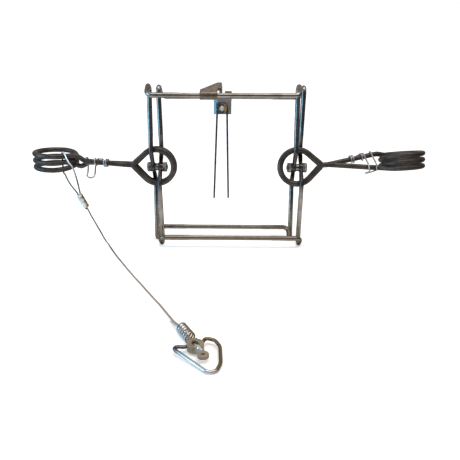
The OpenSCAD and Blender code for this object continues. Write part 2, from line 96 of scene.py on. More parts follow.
def run(start, heading, pieces, per_turn=72):
    """Points along straights and bends laid one after another: a piece is a length, or a bend given
    as (towards, radius, angle), drawn with per_turn points for a full circle."""
    p, h, out = np.array(start, float), unit(heading), []
    for piece in pieces:
        if np.isscalar(piece):
            out.append(p[None])
            p = p + h * piece
            continue
        towards, r, a = piece
        n = unit(np.asarray(towards, float) - h * np.dot(h, towards))
        t = np.linspace(0, a, max(3, int(np.ceil(per_turn * abs(a) / (2 * np.pi)))) + 1)[:, None]
        arc = p + r * (n * (1 - np.cos(t)) + h * np.sin(t))
        out.append(arc[:-1])
        p, h = arc[-1], h * np.cos(a) + n * np.sin(a)
    return np.vstack(out + [p[None]])


def corner_pieces(points, radii):
    """The straights and bends that join a row of points, rounded by the given radii."""
    points = np.array(points, float)
    way = unit(np.diff(points, axis=0))
    angle = np.concatenate([[0], np.arccos(np.clip((way[1:] * way[:-1]).sum(1), -1, 1)), [0]])
    cut = np.array(radii) * np.tan(angle / 2)
    straight = (np.linalg.norm(np.diff(points, axis=0), axis=1) - cut[:-1] - cut[1:]).tolist()
    bends = zip(way[1:], radii[1:], angle[1:])
    return [piece for pair in zip(straight, bends) for piece in pair] + straight[-1:]


def eased(points, radii, per_turn=72):
    """A row of points joined by straights with rounded corners."""
    return run(points[0], np.subtract(points[1], points[0]), corner_pieces(points, radii), per_turn)


def smooth(points, k):
    """A Catmull-Rom line through the points, k steps to a stretch."""
    p = np.array(points, float)
    a, b, c, d = np.vstack([p[:1], p[:-2]]), p[:-1], p[1:], np.vstack([p[2:], p[-1:]])
    t = (np.arange(k) / k)[None, :, None]
    a, b, c, d = (q[:, None] for q in (a, b, c, d))
    line = 0.5 * (2 * b + (c - a) * t + (2 * a - 5 * b + 4 * c - d) * t**2
                  + (3 * b - a - 3 * c + d) * t**3)
    return np.vstack([line.reshape(-1, 3), p[-1:]])


def even(line, step):
    """The line drawn again with points about step apart."""
    s = np.concatenate([[0], np.cumsum(np.linalg.norm(np.diff(line, axis=0), axis=1))])
    t = np.linspace(0, s[-1], int(np.ceil(s[-1] / step)) + 1)
    return np.stack([np.interp(t, s, line[:, k]) for k in range(3)], axis=1)


def circle(sides):
    """Angles in even steps once round."""
    return np.linspace(0, 2 * np.pi, sides, endpoint=False)


def turned(axis, degrees):
    """The matrix of a turn about x, y or z."""
    return np.array(Matrix.Rotation(np.radians(degrees), 3, axis))


# Surfaces: a grid of points has one row to a ring, and each ring is closed

# a radius that stands for the axis, and the cut that breaks an edge
ON_AXIS, EDGE_CUT = 0.01, 0.3
# a hexagon's lead, as a share of what its corners stand out, and how far its end face is inside its flats
HEX_LEAD, HEX_FACE_IN = 0.62, 0.4
# points to one pitch of a thread, and how far its tip is drawn in and stands out
PITCH_POINTS, TIP_IN, TIP_OUT = 8, 0.5, 0.4


def rings_along(line, radius, sides, first_side=None):
    """Rings round a line, square to it and carried along it without twist. radius is one number or
    an array (points, sides)."""
    way = unit(np.gradient(line, axis=0))
    if first_side is None:
        first_side = np.eye(3)[np.argmin(np.abs(way[0]))]
    first = unit(first_side - way[0] * np.dot(first_side, way[0]))
    across = np.array(list(accumulate(way[1:], lambda n, h: unit(n - h * np.dot(n, h)), initial=first)))
    a = circle(sides)[None, :, None]
    out = across[:, None] * np.cos(a) + np.cross(way, across)[:, None] * np.sin(a)
    return line[:, None] + out * np.broadcast_to(radius, (len(line), sides))[..., None]


def tube(line, d, sides, chamfer=0.0):
    """A round tube along a line, its ends broken by a chamfer."""
    if chamfer:
        ends = unit(line[[0, -1]] - line[[1, -2]])
        line = np.vstack([line[:1], line[:1] - ends[:1] * chamfer, line[1:-1],
                          line[-1:] - ends[1:] * chamfer, line[-1:]])
    radius = np.full(len(line), d / 2)
    radius[[0, -1]] -= chamfer
    return rings_along(line, radius[:, None], sides)


def turned_form(profile, sides=48, radius_of=None):
    """A profile of (radius, height) points turned about z; radius_of(angle) caps the radius, which
    cuts the turned form to a hexagon."""
    profile = np.array(profile, float)
    a = circle(sides)
    r = np.repeat(profile[:, :1], sides, axis=1)
    if radius_of is not None:
        r = np.minimum(r, radius_of(a)[None])
    z = np.repeat(profile[:, 1:], sides, axis=1)
    return np.stack([r * np.cos(a), r * np.sin(a), z], axis=2)


def washer_form(hole, outer, low, high):
    """A flat ring turned about z, from its hole's radius to its outer one, with its outer edges broken."""
    lower = [(hole, low), (outer - EDGE_CUT, low), (outer, low + EDGE_CUT)]
    upper = [(outer, high - EDGE_CUT), (outer - EDGE_CUT, high), (hole, high)]
    return turned_form(lower + upper + lower[:1])


def hex_form(width, low, high):
    """A hexagonal block from low to high with its corners turned away at both ends: a turned profile
    whose radius is capped by the distance to the hexagon's flats."""
    flat, sixth = width / 2, np.pi / 3
    corner = flat / np.cos(sixth / 2)
    lead = (corner - flat) * HEX_LEAD
    lower = [(ON_AXIS, low), (flat - HEX_FACE_IN, low), (corner, low + lead)]
    upper = [(r, low + high - z) for r, z in lower[::-1]]
    return turned_form(lower + upper, 72, lambda a: flat / np.cos((a + sixth / 2) % sixth - sixth / 2))


def thread(radius, low, high, pitch, depth, sides=36):
    """A screw thread: the radius rises and falls with the height, shifted by the angle round. Its low
    end is drawn in to a short tip."""
    a = circle(sides)
    z = np.arange(low, high + 1e-6, pitch / PITCH_POINTS)[:, None]
    wave = np.abs(((z / pitch - a[None] / (2 * np.pi)) % 1) - 0.5) * 2
    r = radius - depth * wave
    grid = np.stack([r * np.cos(a), r * np.sin(a), np.broadcast_to(z, r.shape)], axis=2)
    tip = turned_form([(radius - depth - TIP_IN, low - TIP_OUT)], sides)
    return np.vstack([tip, grid])


def placed(grid, matrix, origin):
    """The grid turned by the matrix and moved to the origin given."""
    return grid @ matrix.T + origin


def add_object(name, data):
    """A new object in the scene that shows a mesh, a lamp or a camera."""
    made = bpy.data.objects.new(name, data)
    bpy.context.scene.collection.objects.link(made)
    return made


def add_piece(name, grids, material, body, replaces, capped=True, sharp=40):
    """One mesh object from grids of rings in millimetres: quads between neighbouring rings, and a
    flat cap on each end unless the grid is a closed band. The UV map holds the share of the way
    round and the millimetres along."""
    points, faces, corner_uv, base = [], [], [], 0
    for grid in grids:
        n, m = grid.shape[:2]
        index = base + np.arange(n * m).reshape(n, m)
        after = np.roll(index, -1, axis=1)
        quads = np.stack([index[:-1], after[:-1], after[1:], index[1:]], axis=2).reshape(-1, 4)
        middle = grid.mean(axis=1)
        reach = np.linalg.norm(grid[:, 0] - middle, axis=1)
        steps = np.linalg.norm(np.diff(middle, axis=0), axis=1) + np.abs(np.diff(reach))
        along = np.concatenate([[0], np.cumsum(steps)])
        uv = np.stack(np.broadcast_arrays(np.arange(m)[None] / m, along[:, None]), axis=2)
        next_uv = uv + (1 / m, 0)
        points.append(grid.reshape(-1, 3) * MM)
        faces += quads.tolist()
        corner_uv.append(np.stack([uv[:-1], next_uv[:-1], next_uv[1:], uv[1:]], axis=2).reshape(-1, 2))
        if capped:
            faces += [index[0, ::-1].tolist(), index[-1].tolist()]
            corner_uv += [uv[0], uv[-1]]
        base += n * m
    mesh = bpy.data.meshes.new(name)
    mesh.from_pydata(np.vstack(points), [], faces)
    corner_uv = np.vstack(corner_uv).astype(np.float32)
    mesh.uv_layers.new(name="along").data.foreach_set("uv", corner_uv.reshape(-1))
    mesh.polygons.foreach_set("use_smooth", np.ones(len(mesh.polygons), bool))
    mesh.set_sharp_from_angle(angle=np.radians(sharp))
    mesh.materials.append(material)
    piece = add_object(name, mesh)
    if body:
        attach(piece, body)
    if replaces:
        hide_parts(*replaces)
    return piece


# The far end of the rope: the axis of its shock spring and swivel, the way over it to the right, and how
# far along it the end ring sits
SHOCK_A = np.array([-48.5, -339, 6.2])
AXIS = unit([0.481, -0.877, 0])
OVER = np.array([-AXIS[1], AXIS[0], 0])
TO_AXIS = np.stack([AXIS, OVER, [0, 0, 1]], axis=1)
Z_TO_AXIS = np.stack([[0, 0, -1.0], OVER, AXIS], axis=1)
RING_AT = 38

# Places that set where painted highlight, reflection and shade and other tones come on, and where the
# plate's face leans back, from the pieces they lie on
SHOCK_X, RING_X = SHOCK_A @ OVER, SHOCK_A @ AXIS + RING_AT
BAR_Z = joint_place("trigger_tilt")[2]
PLATE_X = -25
CLAMP_X = PLATE_X + 15.2
PLATE_FOLD, FOLD_SLOPE = -18.5, 0.8
LEFT_COIL = joint_place("left_front_leg_open")
FERRULE = np.array([[50, -40, -56], [60, -36, -80]])
FERRULE_SIDE = (0.96, 0, 0.28)
FERRULE_X = (FERRULE.mean(axis=0) + LEFT_COIL) @ FERRULE_SIDE


# Materials

def new_group(name, inputs, outputs):
    """An empty shader node group, given its inputs with their plain values and its outputs by name."""
    tree = bpy.data.node_groups.new(name, "ShaderNodeTree")
    for label, value in inputs.items():
        socket = tree.interface.new_socket(label, in_out="INPUT", socket_type="NodeSocketFloat")
        socket.default_value = value
    for label in outputs:
        tree.interface.new_socket(label, in_out="OUTPUT", socket_type="NodeSocketFloat")
    return tree, tree.nodes.new("NodeGroupInput").outputs, tree.nodes.new("NodeGroupOutput").inputs


def plug(tree, socket, value):
    """Gives an input another node's output, or a plain number, direction or tone."""
    if isinstance(value, bpy.types.NodeSocket):
        tree.links.new(value, socket)
    else:
        socket.default_value = (*value, 1) if socket.type == "RGBA" else value


def node(tree, kind, inputs=None, **settings):
    """A new node with its properties set and its inputs given by name or number."""
    made = tree.nodes.new(kind)
    for key, value in settings.items():
        setattr(made, key, value)
    for key, value in (inputs or {}).items():
        plug(tree, made.inputs[key], value)
    return made


def grouped(tree, group, inputs=None):
    """The outputs of a shared group, placed with its own values."""
    return node(tree, "ShaderNodeGroup", inputs, node_tree=group).outputs


def math_node(tree, operation, first, second):
    """The result of a Math node on outputs or plain values."""
    return node(tree, "ShaderNodeMath", {0: first, 1: second}, operation=operation).outputs[0]


def vector_node(tree, operation, first, second=(0, 0, 0)):
    """A Vector Math node on outputs or plain directions."""
    return node(tree, "ShaderNodeVectorMath", {0: first, 1: second}, operation=operation).outputs


def mixed(tree, share, first, second, blend="MIX"):
    """Two tones mixed by a share."""
    inputs = {0: share, 6: first, 7: second}
    return node(tree, "ShaderNodeMix", inputs, data_type="RGBA", blend_type=blend).outputs[2]


def ranged(tree, value, low, high, at_low, at_high, fall="LINEAR"):
    """A value carried from the range low to high over to at_low to at_high, and held beyond its ends."""
    made = node(tree, "ShaderNodeMapRange", {"Value": value}, interpolation_type=fall)
    for socket, limit in zip(made.inputs[1:5], (low, high, at_low, at_high)):
        plug(tree, socket, limit)
    return made.outputs[0]


def object_place(tree):
    """Object coordinates, in metres."""
    return node(tree, "ShaderNodeTexCoord").outputs["Object"]


def axis_of(tree, place, axis):
    """One coordinate of a place."""
    return node(tree, "ShaderNodeSeparateXYZ", {0: place}).outputs[axis]


def stretched_noise(tree, place, factors, detail):
    """Noise read at a place whose coordinates are multiplied by the factors, which draws it out to lines."""
    axes = {k: math_node(tree, "MULTIPLY", axis_of(tree, place, k), f) for k, f in enumerate(factors)}
    joined = node(tree, "ShaderNodeCombineXYZ", axes).outputs[0]
    inputs = {"Vector": joined, "Scale": 1, "Detail": detail}
    return node(tree, "ShaderNodeTexNoise", inputs).outputs[0]


def make_mottle_group():
    """Blotches and fine grain in object space, as two masks from 0 to 1."""
    tree, inlet, outlet = new_group("steel_mottle", {"Blotch Scale": 60.0, "Grain Scale": 900.0},
                                    ["Blotch", "Grain"])
    place = object_place(tree)
    for label, low, high in (("Blotch", 0.36, 0.66), ("Grain", 0.3, 0.7)):
        inputs = {"Vector": place, "Scale": inlet[label + " Scale"], "Detail": 5, "Roughness": 0.62}
        noise = node(tree, "ShaderNodeTexNoise", inputs).outputs[0]
        plug(tree, outlet[label], ranged(tree, noise, low, high, 0, 1))
    return tree


def make_drawn_group():
    """Long fine lines along a drawn wire, from its UV map: narrow round it and stretched along it."""
    tree, inlet, outlet = new_group("drawn_lines", {"Round": 40.0, "Along": 0.08}, ["Lines"])
    place = node(tree, "ShaderNodeUVMap", uv_map="along").outputs[0]
    plug(tree, outlet["Lines"], stretched_noise(tree, place, (inlet["Round"], inlet["Along"]), 4))
    return tree


def make_rolled_group():
    """Level rolling lines on a sheet, from object space stretched along x and y."""
    tree, inlet, outlet = new_group("rolled_lines", {"Level": 40.0, "Fine": 900.0}, ["Lines"])
    factors = (inlet["Level"], inlet["Level"], inlet["Fine"])
    plug(tree, outlet["Lines"], stretched_noise(tree, object_place(tree), factors, 2))
    return tree


def make_forged_group():
    """A mask that is 1 beside the pivots and falls to 0 between two distances from their axis."""
    tree, inlet, outlet = new_group("forged_skin", {"Near": 0.03, "Far": 0.05}, ["Mask"])
    shifted = vector_node(tree, "SUBTRACT", object_place(tree), (0, 0, PIVOT_Z * MM))[0]
    flat = vector_node(tree, "MULTIPLY", shifted, (0, 1, 1))[0]
    distance = vector_node(tree, "LENGTH", flat)["Value"]
    plug(tree, outlet["Mask"], ranged(tree, distance, inlet["Near"], inlet["Far"], 1, 0, "SMOOTHSTEP"))
    return tree


def make_ground_shade_group():
    """A mask for painted shade near the ground: 1 on the ground, falling to 0 at a height in metres."""
    tree, inlet, outlet = new_group("painted_ground_shade", {"Height": 0.06}, ["Mask"])
    height = axis_of(tree, object_place(tree), 2)
    plug(tree, outlet["Mask"], ranged(tree, height, 0, inlet["Height"], 1, 0, "SMOOTHSTEP"))
    return tree


MOTTLE = make_mottle_group()
DRAWN = make_drawn_group()
ROLLED = make_rolled_group()
FORGED = make_forged_group()
GROUND_SHADE = make_ground_shade_group()


STREAK_RANGE, STREAK_DEPTH, STAIN_SPREAD = (0.3, 0.7, 0.55, 1.25), 1.5, 0.37
SMOOTHER, ROUGHER, SKIN_ROUGHER, GRAIN_DEPTH = 0.08, 0.12, 0.12, 0.3
# the range of facing over which a rim turns matt, and what it still mirrors
RIM_FROM, RIM_TO, RIM_MIRROR = 0.45, 0.85, 0.02


def metal(name, dark, light, rough, metallic=1.0, blotch=60.0, bump=0.15, lines=0.0, brushed=0.0, stain=None,
          tints=(), scale=None, ground_shade=None, edge=1.0, rim=False, fold=None):
    """A worn metal: two tones mixed by blotches, with grain in the roughness and the bump.

    lines is the depth of drawn lines along a wire, brushed that of rolling lines on a sheet. stain is a tone
    and its share in some blotches. A tint is a tone, its share, and the direction and two places between
    which it comes on; most tints paint a highlight, reflection or shade onto one side or end of a piece.
    scale is a dark skin left by forging: its tone, and the distances from the pivot in metres over which
    it ends. The tone taken on towards the ground and its share make painted shade on the lower parts.
    edge darkens the rim, and rim turns the steepest edges matt. fold leans a sheet's face back to the
    left of an x, by a slope."""
    made = bpy.data.materials.new(name)
    made.use_nodes = True
    tree = made.node_tree
    shader = tree.nodes["Principled BSDF"]
    mottle = grouped(tree, MOTTLE, {"Blotch Scale": blotch})
    grain = mottle["Grain"]
    height = grain
    colour = mixed(tree, mottle["Blotch"], dark, light)
    if lines or brushed:
        streak = grouped(tree, DRAWN if lines else ROLLED)["Lines"]
        colour = mixed(tree, lines or brushed, colour, ranged(tree, streak, *STREAK_RANGE), "MULTIPLY")
        height = math_node(tree, "ADD", height, math_node(tree, "MULTIPLY", streak, STREAK_DEPTH))
    if stain:
        tone, share = stain
        spots = grouped(tree, MOTTLE, {"Blotch Scale": blotch * STAIN_SPREAD})["Blotch"]
        patch = math_node(tree, "MULTIPLY", spots, grain)
        colour = mixed(tree, math_node(tree, "MULTIPLY", patch, share), colour, tone)
    for tone, share, direction, low, high in tints:
        along = vector_node(tree, "DOT_PRODUCT", object_place(tree), direction)["Value"]
        colour = mixed(tree, ranged(tree, along, low * MM, high * MM, 0, share), colour, tone)
    roughness = ranged(tree, grain, 0, 1, rough - SMOOTHER, rough + ROUGHER)
    if scale:
        tone, near, far = scale
        skin = grouped(tree, FORGED, {"Near": near, "Far": far})["Mask"]
        colour = mixed(tree, skin, colour, tone)
        roughness = math_node(tree, "ADD", roughness, math_node(tree, "MULTIPLY", skin, SKIN_ROUGHER))
    # painted shade: the colour darkens towards the ground
    if ground_shade:
        tone, share = ground_shade
        shade_near_ground = math_node(tree, "MULTIPLY", grouped(tree, GROUND_SHADE)["Mask"], share)
        colour = mixed(tree, shade_near_ground, colour, tone)
    relief = node(tree, "ShaderNodeBump", {"Strength": bump, "Distance": GRAIN_DEPTH * MM, "Height": height})
    if fold:
        place, slope = fold
        beyond = math_node(tree, "SUBTRACT", place * MM, axis_of(tree, object_place(tree), 0))
        drop = math_node(tree, "MULTIPLY", math_node(tree, "MAXIMUM", beyond, 0.0), -slope)
        lean = node(tree, "ShaderNodeBump", {"Distance": 1.0, "Height": drop})
        plug(tree, relief.inputs["Normal"], lean.outputs[0])
    for label, value in (("Base Color", colour), ("Roughness", roughness), ("Metallic", metallic),
                         ("Specular Tint", (edge, edge, edge)), ("Normal", relief.outputs[0])):
        plug(tree, shader.inputs[label], value)
    if rim:
        facing = node(tree, "ShaderNodeLayerWeight").outputs["Facing"]
        plug(tree, shader.inputs["Metallic"], ranged(tree, facing, RIM_FROM, RIM_TO, metallic, 0))
        plug(tree, shader.inputs["Specular IOR Level"], RIM_MIRROR)
    return made


# the jaws' darker brown tone near the ground is painted shade on the lower bars
jaw_steel = metal(
    "jaw_steel", (0.185, 0.171, 0.160), (0.325, 0.303, 0.287), 0.18, lines=0.6, bump=0.05, edge=0.05,
    rim=True, stain=((0.22, 0.15, 0.085), 0.45), scale=((0.06, 0.055, 0.056), 0.03, 0.058),
    ground_shade=((0.125, 0.096, 0.064), 0.85))
spring_black = metal(
    "spring_black", (0.045, 0.039, 0.036), (0.090, 0.079, 0.073), 0.34, metallic=0.6, lines=0.4, edge=0.5,
    rim=True, stain=((0.09, 0.06, 0.035), 0.25))
pivot_black = metal(
    "pivot_black", (0.045, 0.04, 0.038), (0.30, 0.28, 0.26), 0.2, blotch=170.0, edge=0.4, rim=True)
catch_zinc = metal(
    "catch_zinc", (0.30, 0.295, 0.30), (0.54, 0.52, 0.52), 0.24, lines=0.4, edge=0.2, rim=True)
dog_steel = metal(
    "dog_steel", (0.085, 0.076, 0.072), (0.245, 0.226, 0.215), 0.34, metallic=0.8, blotch=330.0, bump=0.3,
    brushed=0.5, stain=((0.55, 0.40, 0.20), 0.6),
    # the dark brown tint below 4 to 6 mm above the trigger bar is painted shade on the dog's lower edge
    tints=[((0.05, 0.036, 0.02), 0.5, (0, 0, -1), -BAR_Z - 6, -BAR_Z - 4)])
plate_steel = metal(
    "plate_steel", (0.26, 0.24, 0.235), (0.37, 0.345, 0.335), 0.34, metallic=0.45, brushed=0.6,
    stain=((0.30, 0.20, 0.10), 0.3), fold=(PLATE_FOLD, FOLD_SLOPE),
    tints=[((0.30, 0.20, 0.085), 0.85, (0, 0, 1), BAR_Z + 3, BAR_Z + 5),
           # the cyan tint left of the fold is a painted reflection on the folded strip
           ((0.24, 0.38, 0.42), 0.6, (-1, 0, 0), -PLATE_FOLD, 1 - PLATE_FOLD)])
clamp_zinc = metal(
    "clamp_zinc", (0.60, 0.57, 0.52), (0.92, 0.90, 0.86), 0.18, metallic=0.5, stain=((0.66, 0.46, 0.18), 0.5))
# the gold on the washer's right side is a painted highlight; the darker tones are its own
clamp_brass_with_sheen = metal(
    "clamp_brass_with_sheen", (0.09, 0.08, 0.07), (0.24, 0.21, 0.18), 0.3, blotch=300.0, metallic=0.8, rim=True,
    tints=[((0.62, 0.42, 0.17), 0.95, (1, 0, 0), CLAMP_X + 2, CLAMP_X + 5)])
prong_steel = metal(
    "prong_steel", (0.05, 0.047, 0.046), (0.12, 0.115, 0.115), 0.28, lines=0.4, edge=0.1, rim=True)
rope_steel = metal(
    "rope_steel", (0.10, 0.084, 0.07), (0.23, 0.195, 0.16), 0.3, edge=0.15, rim=True,
    # the near-white tint high up is a painted highlight on the upper part of the loop's front strand
    tints=[((0.75, 0.76, 0.78), 0.9, (0, 0, 1), 120, 160),
           ((0.62, 0.49, 0.41), 0.75, (0, -1, 0), 50, 180)])
# a darker copy of the rope for the back of the loop and the dead end: painted shade
rope_in_shade = metal(
    "rope_in_shade", (0.06, 0.056, 0.054), (0.13, 0.125, 0.12), 0.32, edge=0.1, rim=True)
# a near-white copy of the rope for its tail, a painted highlight; the polished shaft shares this tone
tail_bright = metal("tail_bright", (0.60, 0.60, 0.60), (0.80, 0.79, 0.77), 0.24)
ferrule_alloy = metal(
    "ferrule_alloy", (0.40, 0.44, 0.48), (0.66, 0.70, 0.74), 0.26, rim=True,
    # the brown on the ferrule's right side is a painted reflection
    tints=[((0.34, 0.23, 0.08), 0.9, FERRULE_SIDE, FERRULE_X + 1.5, FERRULE_X + 3.5)])
stop_alloy = metal("stop_alloy", (0.55, 0.53, 0.50), (0.80, 0.78, 0.74), 0.24)
shock_zinc = metal(
    "shock_zinc", (0.34, 0.36, 0.39), (0.60, 0.62, 0.65), 0.2, edge=0.4,
    # the gold-brown on the spring's right side is a painted reflection
    tints=[((0.24, 0.15, 0.05), 0.9, tuple(OVER), SHOCK_X - 1, SHOCK_X + 4)])
cast_swivel = metal(
    "cast_swivel", (0.22, 0.175, 0.125), (0.33, 0.27, 0.195), 0.5, metallic=0.4, bump=0.4)
ring_zinc = metal(
    "ring_zinc", (0.46, 0.49, 0.52), (0.68, 0.70, 0.72), 0.22, lines=0.5, edge=0.3,
    # the ring's tints are painted: shade darkens its end beside the swivel and its left side, and a brown
    # reflection colours its right side
    tints=[((0.10, 0.09, 0.085), 0.9, tuple(-AXIS), -RING_X - 6, -RING_X - 2),
           ((0.20, 0.145, 0.075), 0.9, tuple(OVER), SHOCK_X - 7, SHOCK_X + 5),
           ((0.09, 0.09, 0.10), 0.9, tuple(-OVER), 16 - SHOCK_X, 22 - SHOCK_X)])


# Jaws

JAW_STEP, EYE_BITE = 1.6, 2.5
# an eye's rounded rim: how far its points lie inside its edge and below its face
EYE_RIM = ((1.2, 0), (0.4, 0.4), (0, 1.4))
# where the barrels on the bars and the spring eyes on the rods end, and the area over which a rod swells
BARRELS_END, SPRING_EYES_END, SWELL_AREA = 70, 46, 600
# the press on a rod at its own eye: its strength, held at 1, the length of its fade, its curve, how much
# thinner than the eye it leaves the rod, and the share by which the rod spreads
PRESS_END, PRESS_FADE, PRESS_CURVE, PRESS_GAP, PRESS_SPREAD = 1.3, 13, 1.5, 0.2, 0.45


def half_jaw():
    """Centre line of the upper half of a jaw, from the right eye over the bar to the left one."""
    inward = FOLD_A + ROD_LEAN
    drop = FOLD_R * (np.sin(inward) * np.cos(ROD_LEAN) + (1 - np.cos(inward)) * np.sin(ROD_LEAN))
    fold_u = JAW_H / 2 - drop - (CORNER_R + FOLD_S) * np.cos(FOLD_A)
    fold_v = CRANK_V - (fold_u - CRANK_U) * np.tan(ROD_LEAN)
    x = JAW_W / 2
    points = np.array([[x, 0, 0], [x, -CRANK_V, CRANK_U], [x, -fold_v, fold_u]])
    heading = unit(points[1] - points[0])
    up = corner_pieces(points, [0, CRANK_R, 0])
    start = EYE_D / 2 - EYE_BITE
    right = run(points[0] + heading * start, heading,
                [up[0] - start, up[1], up[2], ((0, -1, 0), FOLD_R, inward), FOLD_S,
                 ((-1, 0, 0), CORNER_R, np.pi / 2)])
    return np.vstack([right, right[::-1] * (-1, 1, 1)])


def jaw_grids(shift, rear):
    """A whole jaw: two bent rods, a little stouter away from the barrels and the spring eyes, flattened
    where they run into their own eyes, and two eyes turned about the bolt with their rims rounded."""
    line = even(half_jaw(), JAW_STEP)
    beside, above = np.abs(line[:, 0]) - BARRELS_END, np.abs(line[:, 2]) - SPRING_EYES_END
    clear = np.maximum(beside, 0) * np.maximum(above, 0)
    radius = ROD_R + ROD_FREE * np.clip(clear / SWELL_AREA, 0, 1)
    rod = rings_along(line, radius[:, None], 24, (1, 0, 0))
    count = np.arange(len(line))
    near = np.minimum(count, count[::-1]) * JAW_STEP
    press = np.clip(PRESS_END - near / PRESS_FADE, 0, 1)[:, None, None] ** PRESS_CURVE
    off = rod - line[:, None]
    sideways = off * (1, 0, 0)
    thin = 1 - press * (1 - (EYE_T - PRESS_GAP) / ROD_D)
    rod = line[:, None] + sideways * thin + (off - sideways) * (1 + PRESS_SPREAD * press)
    hole, outer, half = BOLT_D / 2 + RUN_FIT, EYE_D / 2, EYE_T / 2
    lower = [(hole, -half)] + [(outer - inside, below - half) for inside, below in EYE_RIM]
    eye = turned_form(lower + [(r, -z) for r, z in lower[::-1]] + lower[:1])
    to_x = turned("Y", 90)
    grids = [rod, rod * (1, -1, -1)] + [placed(eye, to_x, (x, 0, 0)) for x in (-JAW_W / 2, JAW_W / 2)]
    if rear:
        grids = [(g * (1, -1, 1))[:, ::-1] for g in grids]
    return [g + (shift, 0, PIVOT_Z) for g in grids]


def add_jaws():
    """Both jaws as smooth round rods."""
    for name, shift, rear in (("front_jaw", -JAW_SHIFT, False), ("rear_jaw", JAW_SHIFT, True)):
        grids = jaw_grids(shift, rear)
        add_piece(name + "_rod", grids, jaw_steel, name, [name], capped=False)


# Pivots

SHANK_LAP, BOLT_PAST_NUT, BOLT_PITCH, BOLT_DEPTH = 0.2, 1.1, 1.25, 0.35


def add_pivots():
    """Bolt, nut and washers on each side, along the bolt's axis with its head outwards."""
    outer, inner, bolt_r = STACK + WASHER_T, -STACK - WASHER_T, BOLT_D / 2
    bolt = [hex_form(HEX_W, outer, outer + HEAD_H),
            turned_form([(bolt_r, inner + SHANK_LAP), (bolt_r, outer)], 36),
            thread(bolt_r, inner - NUT_H - BOLT_PAST_NUT, inner, BOLT_PITCH, BOLT_DEPTH)]
    nut = [hex_form(HEX_W, inner - NUT_H, inner)]
    washers = {label: [washer_form(bolt_r + RUN_FIT, WASHER_D / 2, low, low + WASHER_T)]
               for label, low in (("head", STACK), ("nut", inner))}
    for side, sx in (("left", -1), ("right", 1)):
        matrix, place = np.diag((sx, 1, 1)) @ turned("Y", 90), (sx * JAW_W / 2, 0, PIVOT_Z)
        for label, part, forms, capped, sharp in (
                ("bolt", "pivot_bolt", bolt, True, 20), ("nut", "pivot_nut", nut, True, 20),
                ("head_washer", "head_washer", washers["head"], False, 40),
                ("nut_washer", "nut_washer", washers["nut"], False, 40)):
            grids = [placed(form, matrix, place)[:, ::sx] for form in forms]
            add_piece(f"{side}_{label}_turned", grids, pivot_black, "base", [f"{side}_{part}"],
                      capped, sharp)


# Springs

NECK_A = np.radians(40)
NECK_Y = RING_Y + 5
NECK = np.array([COIL_R * np.sin(NECK_A), -COIL_R * np.cos(NECK_A), COIL_PITCH])
KNEE = NECK + (-NECK_Y - NECK[1]) / np.sin(NECK_A) * np.array([np.cos(NECK_A), np.sin(NECK_A), 0])
APEX = RING_R * np.sqrt(2)
ENTRY = np.array([SPRING_L - APEX - 14, -RING_Y, 0])
FALL = np.array([56, -NECK_Y + 0.9, 3])
LEG_VIA = {"left": ([KNEE, FALL], [14, 14]), "right": ([KNEE], [22])}
ENTRY_R, APEX_R = 50, 10
SPRING_STEP, SPRING_SIDES, SPRING_CHAMFER = 1.5, 28, 0.7
# where a spring's eye sits, inwards of the pivot's middle and above it
EYE_INWARDS, EYE_ABOVE = 0.5, 1.2
# how far outside an eye its wire is swelled, over what length, by what share all round and more at the point
SWELL_PAST, SWELL_FADE, SWELL_ROUND, SWELL_POINT, POINT_L = 8, 10, 0.22, 0.4, 8
# how far an eye's wire runs past its leg's middle, how far short of it the end is cut, the rings cut, and
# how steep an end has to be
MITRE_LAP, MITRE_BELOW, MITRE_RINGS, MITRE_CLIMB = 5.0, 1.0, 14, 0.5
# how much tighter the latched coil is wound, and how far it hangs down
PRESSED, SUNK = 1.1, 2.8


def half_spring(side):
    """Centre line of one leg: out of the coil, along to the eye, three quarters round it. The left
    legs fall to the middle plane beside the coil."""
    dip = RING_R * np.sin(np.pi / 4)
    via, radii = LEG_VIA[side]
    eye_start = [[SPRING_L - APEX, -RING_Y, 0], [SPRING_L - dip, -RING_Y, dip]]
    body = corner_pieces([NECK] + via + [ENTRY] + eye_start, [0] + radii + [ENTRY_R, APEX_R, 0])
    return run([0, -COIL_R, COIL_PITCH], [1, 0, 0],
               [((0, 1, 0), COIL_R, NECK_A)] + body
               + [((1, 0, -1), RING_R, 1.5 * np.pi), RING_R + MITRE_LAP])


def coil(pitch):
    """Two and a half turns: level half turns on the far side, rising ones on the near side."""
    level = ((0, 1, 0), COIL_R, np.pi)
    rising = ((0, -2 * COIL_R, -pitch), np.hypot(COIL_R, pitch / 2), np.pi)
    return run([0, -COIL_R, pitch], [-1, 0, 0], [level, rising, level, rising, level])


def lifted(leg, height):
    """A leg whose coil end is lifted by a height, which fades out between the neck and the knee."""
    t = np.clip((KNEE[0] - leg[:, :1]) / (KNEE[0] - NECK[0]), 0, 1)
    return leg + (0, 0, height) * t * t * (3 - 2 * t)


def pressed_spring():
    """Centre line of the whole right spring: its coil is latched tighter and hangs a little lower."""
    leg, turns = half_spring("right"), coil(COIL_PITCH - PRESSED) - (0, 0, SUNK)
    upper, lower = lifted(leg, -PRESSED - SUNK), lifted(leg, SUNK - PRESSED) * (1, -1, -1)
    return np.vstack([upper[:0:-1], turns[:-1], lower])


def spring_place(side):
    """The turn and the place of a spring's own frame, whose origin is the middle of its coil."""
    tilt, roll = TILT_ROLL[side]
    sx = -1 if side == "left" else 1
    matrix = turned("Z", -SWING) @ turned("Y", tilt) @ turned("X", roll)
    if side == "right":
        matrix = matrix @ turned("Z", 180)
    eye = np.array([sx * (JAW_W / 2 - EYE_INWARDS), 0, PIVOT_Z + EYE_ABOVE])
    return matrix, eye - matrix @ np.array([SPRING_L, 0, 0])


